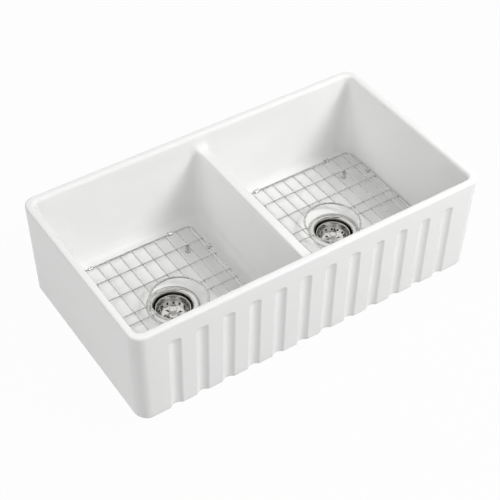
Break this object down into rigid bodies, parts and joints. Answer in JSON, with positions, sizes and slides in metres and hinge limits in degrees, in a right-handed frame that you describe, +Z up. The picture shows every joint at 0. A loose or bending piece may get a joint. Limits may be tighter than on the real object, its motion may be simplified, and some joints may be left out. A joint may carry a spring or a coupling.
{
  "type": "farmhouse apron front sink",
  "caption": "Glazed fireclay farmhouse sink with a fluted apron front, a lowered divider between its bowls, lift-out bottom grids and basket strainers.",
  "frame": {"origin": "centre of the flat underside of the sink, between the drains", "axes": "+X along the apron to the right as it is faced, the apron faces -Y, +Z up"},
  "size_m": [0.8378, 0.4569, 0.2809],
  "materials": {
    "glaze": "high-gloss white glaze over fireclay",
    "strainer_steel": "polished stainless steel",
    "grid_wire": "electropolished stainless steel wire",
    "silicone": "grey translucent silicone, satin",
    "black_rubber": "matt black rubber",
    "fibre": "pressed fibre board",
    "cast_nut": "cast, dull grey",
    "putty": "pale sealing putty, matt"
  },
  "bodies": {
    "sink": {"sink_body": "glaze", "left_strainer_body": "strainer_steel", "left_flange_seal": "putty", "left_drain_gasket": "black_rubber", "left_friction_washer": "fibre", "left_locknut": "cast_nut", "right_strainer_body": "strainer_steel", "right_flange_seal": "putty", "right_drain_gasket": "black_rubber", "right_friction_washer": "fibre", "right_locknut": "cast_nut"},
    "left_basket_set": {"left_basket": "strainer_steel", "left_basket_knob": "strainer_steel", "left_stopper": "black_rubber", "left_stem_tip": "cast_nut"},
    "left_grid_set": {"left_grid": "grid_wire", "left_foot_inner_front": "silicone", "left_foot_inner_back": "silicone", "left_foot_outer_front": "silicone", "left_foot_outer_back": "silicone", "left_bumper_inner_side_front": "silicone", "left_bumper_inner_side_back": "silicone", "left_bumper_outer_side_front": "silicone", "left_bumper_outer_side_back": "silicone", "left_bumper_front_side_inner": "silicone", "left_bumper_back_side_inner": "silicone", "left_bumper_front_side_outer": "silicone", "left_bumper_back_side_outer": "silicone"},
    "right_basket_set": {"right_basket": "strainer_steel", "right_basket_knob": "strainer_steel", "right_stopper": "black_rubber", "right_stem_tip": "cast_nut"},
    "right_grid_set": {"right_grid": "grid_wire", "right_foot_inner_front": "silicone", "right_foot_inner_back": "silicone", "right_foot_outer_front": "silicone", "right_foot_outer_back": "silicone", "right_bumper_inner_side_front": "silicone", "right_bumper_inner_side_back": "silicone", "right_bumper_outer_side_front": "silicone", "right_bumper_outer_side_back": "silicone", "right_bumper_front_side_inner": "silicone", "right_bumper_back_side_inner": "silicone", "right_bumper_front_side_outer": "silicone", "right_bumper_back_side_outer": "silicone"}
  },
  "joints": [
    {"name": "left_grid_lift", "type": "slide", "parent": "sink", "child": "left_grid_set", "axis": [0, 0, 1], "range_m": [0, 0.23]},
    {"name": "left_basket_lift", "type": "slide", "parent": "sink", "child": "left_basket_set", "axis": [0, 0, 1], "range_m": [0, 0.28]},
    {"name": "right_grid_lift", "type": "slide", "parent": "sink", "child": "right_grid_set", "axis": [0, 0, 1], "range_m": [0, 0.23]},
    {"name": "right_basket_lift", "type": "slide", "parent": "sink", "child": "right_basket_set", "axis": [0, 0, 1], "range_m": [0, 0.28]}
  ]
}
